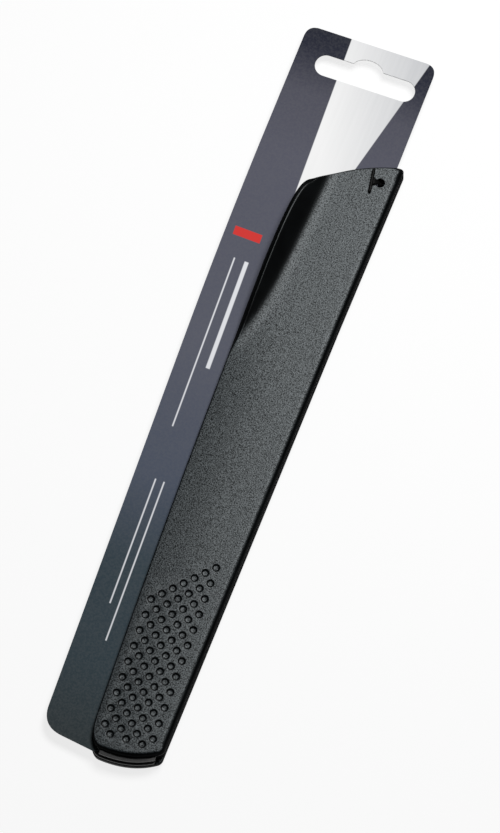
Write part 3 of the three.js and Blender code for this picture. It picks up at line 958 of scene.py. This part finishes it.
def buildBackShell():
    bm = bmesh.new()
    loop, edges = guardOutline(tipReach=backShell["tipReach"])
    flat = toFrame(loop)
    normals = inward(flat)
    size = edgeRounds(loop, edges, backShell["round"], backShell["cornerRound"], backShell["easing"])
    top = guardShape["backPlate"]
    rings = [addRing(bm, flat + normals * (size + backShell["support"])[:, None], 0)]
    for turn in np.linspace(pi / 2, 0, 7):
        run = size * (1 - cos(turn))
        rings.append(addRing(bm, flat + normals * run[:, None], size * (1 - sin(turn))))
    for run, drop in reversed(softEdge(backShell["innerSoft"])):
        rings.append(addRing(bm, flat + normals * run, top - drop))
    bridgeAll(bm, rings)
    fillCap(bm, [rings[0]])
    pocketFloor = top - magnets["thickness"] - magnets["clearance"]
    pockets = [addPocket(bm, loop, top, pocketFloor) for loop in magnetLoops()]
    middle = guardShape["wallWidth"] / 2
    half = closedWall["tongueWidth"] / 2 + guardShape["glueGap"]
    start = closedWall["endGap"] - guardShape["glueGap"]
    groove = boxLoop(middle - half, middle + half, start, guardShape["closedLength"] - start)
    pockets.append(addPocket(bm, groove, top, top - closedWall["tongueDepth"] - guardShape["glueGap"]))
    fillCap(bm, [rings[-1]] + pockets)
    return bm


shellBack = makeObject("backShell", buildBackShell(), shellPlastic)
markGrainAndShade(shellBack, -1)
dressPiece(shellBack, "guard", "back_shell")

# inner plates that close the magnet pockets and line the slot
liner = {
    "frontReach": 1.25,
    "backReach": 1.6,
    "frontOpenInset": 5.0,
    "backOpenInset": 0.8,
    "heelInset": 12.0,
    "soft": 0.18,
    "spotStep": 2.0,
}


def buildLiner(low, tipReach, openInset, liftShare):
    bm = bmesh.new()
    inset = guardShape["wallWidth"] + guardShape["glueGap"]
    loop, _ = guardOutline(inset, openInset, liner["heelInset"], tipReach)
    flat = toFrame(loop)
    normals = inward(flat)
    high, edge = low + guardShape["linerThickness"], softEdge(liner["soft"])

    def lift(points):
        return liftShare * lipLift(points)

    rings = []
    rows = [(run, low + rise) for run, rise in edge] + [(run, high - drop) for run, drop in edge[::-1]]
    for run, level in rows:
        ringFlat = flat + normals * run
        rings.append(addRing(bm, ringFlat, level + lift(ringFlat)))
    bridgeAll(bm, rings)
    spots = innerSpots(flat, liner["spotStep"], 0.8, (), lipLow, lipHigh)
    fillCap(bm, [rings[0]], spots, lambda points: low + lift(points))
    fillCap(bm, [rings[-1]], spots, lambda points: high + lift(points))
    return bm


backLinerLow = guardShape["backPlate"] + guardShape["glueGap"]
backLinerShape = buildLiner(backLinerLow, liner["backReach"], liner["backOpenInset"], 0.0)
frontLinerShape = buildLiner(slotHigh, liner["frontReach"], liner["frontOpenInset"], lip["linerShare"])
linerBack = makeObject("backLiner", backLinerShape, linerPlastic)
linerFront = makeObject("frontLiner", frontLinerShape, linerPlastic)
dressPiece(linerBack, "guard", "back_liner")
dressPiece(linerFront, "guard", "front_liner")

# magnets keep their solids and get the plating
for name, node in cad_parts.items():
    if "magnet" in name:
        for place in node.material_slots:
            place.material = magnetPlating

# hang card held in the slot
card = {
    "thickness": 0.5,
    "lift": 0.3,
    "rise": 38.4,
    "topSlant": 1.7,
    "headLean": 0.4,
    "tipReach": 0.25,
    "tipSlant": 1.9,
    "underlap": 2.9,
    "innerGap": 3.0,
    "wallGap": 0.45,
    "heelOverhang": 16.4,
    "tipOverhang": 15.45,
    "corner": 4.0,
    "tipCorner": 7.0,
    "bendDown": 38.0,
    "bendHalf": 38.0,
    "slotLength": 33.5,
    "slotHeight": 7.2,
    "slotDrop": 11.2,
    "slotShift": 1.4,
    "peakWidth": 10.0,
    "peakRise": 2.6,
    "peakEase": 0.7,
    "notch": 0.9,
}
cardLow = slotLow + card["lift"]
cardHigh = cardLow + card["thickness"]


def arc(middle, radius, start, end, count=24):
    turn = np.linspace(start, end, count + 1)
    return np.asarray(middle) + radius * np.stack([np.cos(turn), np.sin(turn)], 1)


def cardOutline():
    inner = closedX - guardShape["wallWidth"] - card["wallGap"]
    headInner = inner - card["headLean"]
    topY = heelY + card["rise"]
    freeTop = closedX - guardShape["heelWidth"] - card["heelOverhang"]
    freeTopY = topY - card["topSlant"]
    bendY = heelY - card["bendDown"]
    underTip = toFrame((guardShape["tipWidth"] - card["underlap"], tipLow + card["tipReach"]))
    freeBottom = closedX - guardShape["tipWidth"] - card["tipOverhang"]
    bottomY = underTip[1] + card["tipSlant"]
    lean = (freeBottom - freeTop) / (bendY - bottomY)
    topSlope = card["topSlant"] / (headInner - freeTop)
    tipSlope = card["tipSlant"] / (underTip[0] - freeBottom)
    corner, tipCorner, notch, half = card["corner"], card["tipCorner"], card["notch"], card["bendHalf"]
    rows = [
        [(inner, heelY - guardShape["closedLength"] + card["innerGap"]), (inner, holeMiddle[1] - notch)],
        arc(holeMiddle, notch, -pi / 2, -3 * pi / 2),
        [(inner, holeMiddle[1] + notch)],
        bezier(
            (headInner, topY - corner), (headInner, topY), (headInner - corner, topY - topSlope * corner),
            count=12),
        bezier(
            (freeTop + corner, freeTopY + topSlope * corner), (freeTop, freeTopY), (freeTop, freeTopY - corner),
            count=12),
        bezier((freeTop, bendY + half), (freeTop, bendY), (freeTop + lean * half, bendY - half), count=24),
        bezier(
            (freeBottom - lean * tipCorner, bottomY + tipCorner), (freeBottom, bottomY),
            (freeBottom + tipCorner, bottomY - tipSlope * tipCorner), count=14),
        [tuple(underTip)],
    ]
    outline = np.vstack([np.asarray(row, float) for row in rows])
    slotX = (inner + freeTop) / 2 + card["slotShift"]
    slotY = topY - topSlope * (headInner - slotX) - card["slotDrop"]
    radius = card["slotHeight"] / 2
    end, peak = card["slotLength"] / 2 - radius, card["peakWidth"] / 2
    control = (peak * card["peakEase"], radius + card["peakRise"] * 4 / 3)
    slot = np.vstack([
        arc((end, 0), radius, -pi / 2, pi / 2),
        bezier((peak, radius), control, (-control[0], control[1]), (-peak, radius), count=20),
        arc((-end, 0), radius, pi / 2, 3 * pi / 2),
    ])
    turn = atan(topSlope)
    slot = slot @ np.array([[cos(turn), sin(turn)], [-sin(turn), cos(turn)]]) + (slotX, slotY)
    return outline, slot


def buildCard():
    bm = bmesh.new()
    walls = []
    for loop in cardOutline():
        low, high = addRing(bm, loop, cardLow), addRing(bm, loop, cardHigh)
        bridge(bm, low, high)
        walls.append((low, high))
    for level in (0, 1):
        fillCap(bm, [wall[level] for wall in walls])
    return bm


# print on the card: slate that deepens towards the tip, a pale brushed stripe on the head, plain rules
# and a red bar
cardPrint = {
    "stripeLeft": -13.7,
    "stripeRight": 1.4,
    "stripeFoot": 108.0,
    "stripeSpread": 0.228,
    "stripeEnd": 84.0,
    "fade": 0.25,
    "lean": 0.037,
    "leanFrom": 60.0,
    "fibre": 1500.0,
    "fibreShare": 0.12,
    "fibrePale": 0.16,
    "steelPale": (0.80, 0.80, 0.80, 1),
    "steelDeep": (0.42, 0.43, 0.45, 1),
    "streaks": 900.0,
    "stretch": 0.03,
    "streakShare": 0.3,
    "streakPale": 0.9,
    "marks": 45.0,
    "roughLow": 0.62,
    "roughHigh": 0.7,
    "red": (0.6, 0.035, 0.03, 1),
    "white": (0.72, 0.73, 0.76, 1),
    "redBar": (-28.0, -18.6, 69.0, 72.2),
    "rules": (  # along the free side: left and right edge, and lower and upper end
        (-21.3, -19.7, 24.0, 62.0),
        (-25.0, -24.3, 2.0, 62.0),
        (-21.3, -20.6, -72.0, -16.0),
        (-24.2, -23.5, -60.0, -16.0),
    ),
    "slate": (  # tone by height on the card, in mm above the guard's middle
        (-105, (0.024, 0.034, 0.038)),
        (-80, (0.028, 0.045, 0.056)),
        (-45, (0.030, 0.048, 0.062)),
        (-15, (0.064, 0.078, 0.112)),
        (30, (0.086, 0.092, 0.122)),
        (100, (0.080, 0.082, 0.110)),
        (122, (0.066, 0.067, 0.090)),
        (137, (0.014, 0.016, 0.030)),
        (146, (0.009, 0.011, 0.021)),
    ),
}


def printedBar(tree, side, along, edges):  # mask of a bar with slightly soft edges
    left, right, low, high = edges
    soft = cardPrint["fade"]
    starts = [remap(tree, at, edge, edge + soft) for at, edge in ((side, left), (along, low))]
    ends = [remap(tree, at, edge, edge - soft) for at, edge in ((side, right), (along, high))]
    across, length = [maths(tree, "MULTIPLY", start, end) for start, end in zip(starts, ends)]
    return maths(tree, "MULTIPLY", across, length)


def makeCardPrint():
    look = cardPrint
    finish, tree, shader, place = newFinish("cardPrint", IOR=1.5, Specular_IOR_Level=0.1)
    at = addNode(tree, "ShaderNodeSeparateXYZ", {0: place}).outputs
    x = maths(tree, "MULTIPLY", at["X"], 1 / mm)
    y = maths(tree, "MULTIPLY", at["Y"], 1 / mm)
    low, high = look["slate"][0][0], look["slate"][-1][0]
    ramp = addNode(tree, "ShaderNodeValToRGB", {"Fac": remap(tree, y, low, high)})
    stops = ramp.color_ramp.elements
    for index, (height, tone) in enumerate(look["slate"]):
        share = (height - low) / (high - low)
        stop = stops[0] if index == 0 else stops[-1] if share == 1 else stops.new(share)
        stop.color = (*tone, 1)
    fibre = useGroup(tree, mouldGrain, place, look["fibre"])
    fibreShare = maths(tree, "MULTIPLY", fibre["Fleck"], look["fibreShare"])
    slate = mixColour(tree, fibreShare, ramp.outputs["Color"], grey(look["fibrePale"]))

    # the stripe's left edge, the rules and the bar follow the lean of the card's free side
    leaned = maths(tree, "MULTIPLY", maths(tree, "SUBTRACT", look["leanFrom"], y), look["lean"])
    side = maths(tree, "SUBTRACT", x, leaned)

    # pale stripe that widens to the top, brushed along its length
    widened = maths(tree, "MULTIPLY", maths(tree, "SUBTRACT", y, look["stripeFoot"]), look["stripeSpread"])
    inner = maths(tree, "SUBTRACT", x, widened)
    stripe = maths(tree, "MULTIPLY",
                   remap(tree, side, look["stripeLeft"], look["stripeLeft"] + look["fade"]),
                   remap(tree, inner, look["stripeRight"], look["stripeRight"] - look["fade"]))
    foot = remap(tree, y, look["stripeEnd"], look["stripeEnd"] + look["fade"])
    stripe = maths(tree, "MULTIPLY", stripe, foot)
    streaks = brushed(tree, place, look["stretch"], look["streaks"], 4.0)
    sweep = remap(tree, maths(tree, "ADD", x, maths(tree, "MULTIPLY", y, 0.35)), 25.0, 62.0)
    steel = mixColour(tree, sweep, look["steelPale"], look["steelDeep"])
    streakShare = maths(tree, "MULTIPLY", streaks, look["streakShare"])
    steel = mixColour(tree, streakShare, steel, grey(look["streakPale"]))
    colour = mixColour(tree, stripe, slate, steel)
    for rule in look["rules"]:
        colour = mixColour(tree, printedBar(tree, side, y, rule), colour, look["white"])
    colour = mixColour(tree, printedBar(tree, side, y, look["redBar"]), colour, look["red"])
    marks = useGroup(tree, handlingMarks, place, look["marks"])["Mask"]
    tree.links.new(colour, shader.inputs["Base Color"])
    roughen(tree, shader, marks, look)
    return finish


dressPiece(makeObject("hangCard", buildCard(), makeCardPrint()), "card", "hang_card")

# tag fastener through the hang hole: a bar on the face, a web, a thread, and a bar behind the card
tag = {
    "barLength": 8.2,
    "barWidth": 1.1,
    "thread": 1.1,
    "threadSink": 0.3,
    "reach": 2.75,
    "lean": 10.7,
    "gap": 0.3,
    "webBar": 3.5,
    "webHole": 1.2,
    "webWaist": 2.2,
    "webThickness": 0.72,
    "webDrop": 2.2,
    "voxel": 0.075,
    "smoothing": 6,
}


def addCapsule(bm, start, end, radius, sides=20, capRings=5):
    start, end = Vector(start), Vector(end)
    axis = (end - start).normalized()
    turned = axis.to_track_quat("Z", "Y").to_matrix()
    rings = []
    for middle, first in ((start, -pi / 2), (end, 0)):
        for turn in np.linspace(first, first + pi / 2, capRings + 1):
            if abs(abs(turn) - pi / 2) < 1e-6:
                continue
            flat = circle((0, 0), radius * cos(turn), sides)
            rings.append([bm.verts.new(middle + turned @ Vector((x, y, radius * sin(turn)))) for x, y in flat])
    bridgeAll(bm, rings)
    for ring, point in ((rings[0], start - axis * radius), (rings[-1], end + axis * radius)):
        pole = bm.verts.new(point)
        for i in range(sides):
            bm.faces.new((ring[i], ring[(i + 1) % sides], pole))


def buildTag():
    bm = bmesh.new()
    barRadius = tag["barWidth"] / 2
    barHigh = guardShape["thickness"] + tag["gap"] + barRadius
    half = tag["barLength"] / 2 - barRadius
    addCapsule(bm, (-tag["reach"], -half, 0), (-tag["reach"], half, 0), barRadius)
    # the web waists in from the bar to the thread, and runs down into the hole
    rows = []
    for share in np.linspace(0, 1, 9):
        width = tag["webHole"] + (tag["webBar"] - tag["webHole"]) * share ** tag["webWaist"]
        thick = tag["webThickness"] / 2
        level = -tag["webDrop"] * (0.15 * (1 - share) + 0.85 * (1 - share) ** 3)
        rows.append([bm.verts.new((-tag["reach"] * share, y * width / 2, level + z * thick)) for y, z in (
            (-1, -0.5), (-0.85, -1), (0.85, -1), (1, -0.5), (1, 0.5), (0.85, 1), (-0.85, 1), (-1, 0.5))])
    bridgeAll(bm, rows)
    bm.faces.new(rows[0])
    bm.faces.new(rows[-1])
    turn = Matrix.Rotation(radians(tag["lean"]), 4, "Z")
    bmesh.ops.transform(bm, matrix=Matrix.Translation((*holeMiddle, barHigh)) @ turn, verts=bm.verts)
    rearHeight = cardLow - guardShape["backPlate"] - 2 * tag["gap"]
    rear = guardShape["backPlate"] + tag["gap"] + rearHeight / 2
    half = tag["barLength"] / 2 - rearHeight / 2
    x, y = holeMiddle
    addCapsule(bm, (x, y - half, rear), (x, y + half, rear), rearHeight / 2)
    addCapsule(bm, (x, y, rear), (x, y, barHigh - tag["webDrop"] - tag["threadSink"]), tag["thread"] / 2)
    return bm


def makeTag():
    piece = makeObject("tagFastener", buildTag(), tagNylon)
    fuse = piece.modifiers.new("fuse", "REMESH")  # one moulding, with soft inner corners
    fuse.mode = "VOXEL"
    fuse.voxel_size = tag["voxel"] * mm
    ease = piece.modifiers.new("ease", "SMOOTH")
    ease.factor, ease.iterations = 0.5, tag["smoothing"]
    keepEvaluated(piece)
    piece.data.materials.clear()
    piece.data.materials.append(tagNylon)
    dressPiece(piece, "tag", "tag_fastener", 60)


makeTag()

# camera at the photograph's angle: a long lens, so that the guard hardly narrows with distance
camera = {
    "tilt": 18.0,
    "turn": 21.376,
    "lens": 700.0,
    "sensor": 36.0,
    "frameHeight": 0.26454,
    "aimRight": 0.00443,
    "aimUp": 0.01405,
}


def imageAxes():
    turn, tilt = radians(camera["turn"]), radians(camera["tilt"])
    right = Vector((cos(turn), sin(turn), 0))
    ahead = Vector((-sin(turn), cos(turn), 0))
    up = ahead * cos(tilt) + Vector((0, 0, sin(tilt)))
    back = Vector((0, 0, cos(tilt))) - ahead * sin(tilt)
    return right, ahead, up, back


def makeCamera():
    right, ahead, up, back = imageAxes()
    data = bpy.data.cameras.new("camera")
    data.lens, data.sensor_width = camera["lens"], camera["sensor"]
    distance = camera["lens"] * camera["frameHeight"] / camera["sensor"]
    data.clip_start, data.clip_end = 0.1, distance * 3
    eye = bpy.data.objects.new("camera", data)
    eye.matrix_world = Matrix((
        (right.x, up.x, back.x, 0), (right.y, up.y, back.y, 0), (right.z, up.z, back.z, 0), (0, 0, 0, 1)))
    eye.location = right * camera["aimRight"] + up * camera["aimUp"] + back * distance
    scene.collection.objects.link(eye)
    scene.camera = eye


makeCamera()

# softboxes: angles from overhead towards image right and image top, distance, size and brightness
lamps = {
    "keySoftbox": {"right": 15.0, "up": 20.5, "distance": 0.72, "size": (0.288, 0.288), "level": 21.0},
}


def makeLamps():
    right, ahead, _, _ = imageAxes()
    for name, lamp in lamps.items():
        data = bpy.data.lights.new(name, "AREA")
        data.shape = "RECTANGLE"
        data.size, data.size_y = lamp["size"]
        data.energy = lamp["level"] * pi * data.size * data.size_y
        light = bpy.data.objects.new(name, data)
        towards = Vector((0, 0, 1)) + right * tan(radians(lamp["right"])) + ahead * tan(radians(lamp["up"]))
        towards.normalize()
        light.location = towards * lamp["distance"]
        light.rotation_mode = "QUATERNION"
        light.rotation_quaternion = towards.to_track_quat("Z", "Y")
        scene.collection.objects.link(light)


makeLamps()

# plain white floor that keeps the shadow, and a dim room
room = {"floorSize": 24.0, "drop": 0.2, "floorGrey": 0.9, "whiteShare": 0.8, "roomGrey": 0.03}


def makeRoom():
    half = room["floorSize"] / 2
    mesh = bpy.data.meshes.new("floor")
    corners = [(x * half, y * half, -room["drop"] * mm) for x, y in ((-1, -1), (1, -1), (1, 1), (-1, 1))]
    mesh.from_pydata(corners, [], [(0, 1, 2, 3)])
    floor = bpy.data.objects.new("floor", mesh)
    scene.collection.objects.link(floor)
    finish = bpy.data.materials.new("floorPaper")
    finish.use_nodes = True
    tree = finish.node_tree
    shader = tree.nodes["Principled BSDF"]
    shader.inputs["Base Color"].default_value = grey(room["floorGrey"])
    shader.inputs["Roughness"].default_value = 0.9
    shader.inputs["Specular IOR Level"].default_value = 0.0
    path = addNode(tree, "ShaderNodeLightPath").outputs
    mirrored = maths(tree, "MAXIMUM", path["Is Glossy Ray"], path["Is Transmission Ray"])
    seen = maths(tree, "MAXIMUM", path["Is Camera Ray"], mirrored)
    white = addNode(tree, "ShaderNodeEmission", {"Color": grey(1.0), "Strength": 1.0})
    mix = addNode(tree, "ShaderNodeMixShader", {
        0: maths(tree, "MULTIPLY", seen, room["whiteShare"]), 1: shader.outputs[0], 2: white.outputs[0]})
    tree.links.new(mix.outputs[0], tree.nodes["Material Output"].inputs["Surface"])
    mesh.materials.append(finish)
    world = bpy.data.worlds.new("room")
    world.use_nodes = True
    world.node_tree.nodes["Background"].inputs["Color"].default_value = grey(1.0)
    world.node_tree.nodes["Background"].inputs["Strength"].default_value = room["roomGrey"]
    scene.world = world


makeRoom()
print("camera, lamps and floor set")
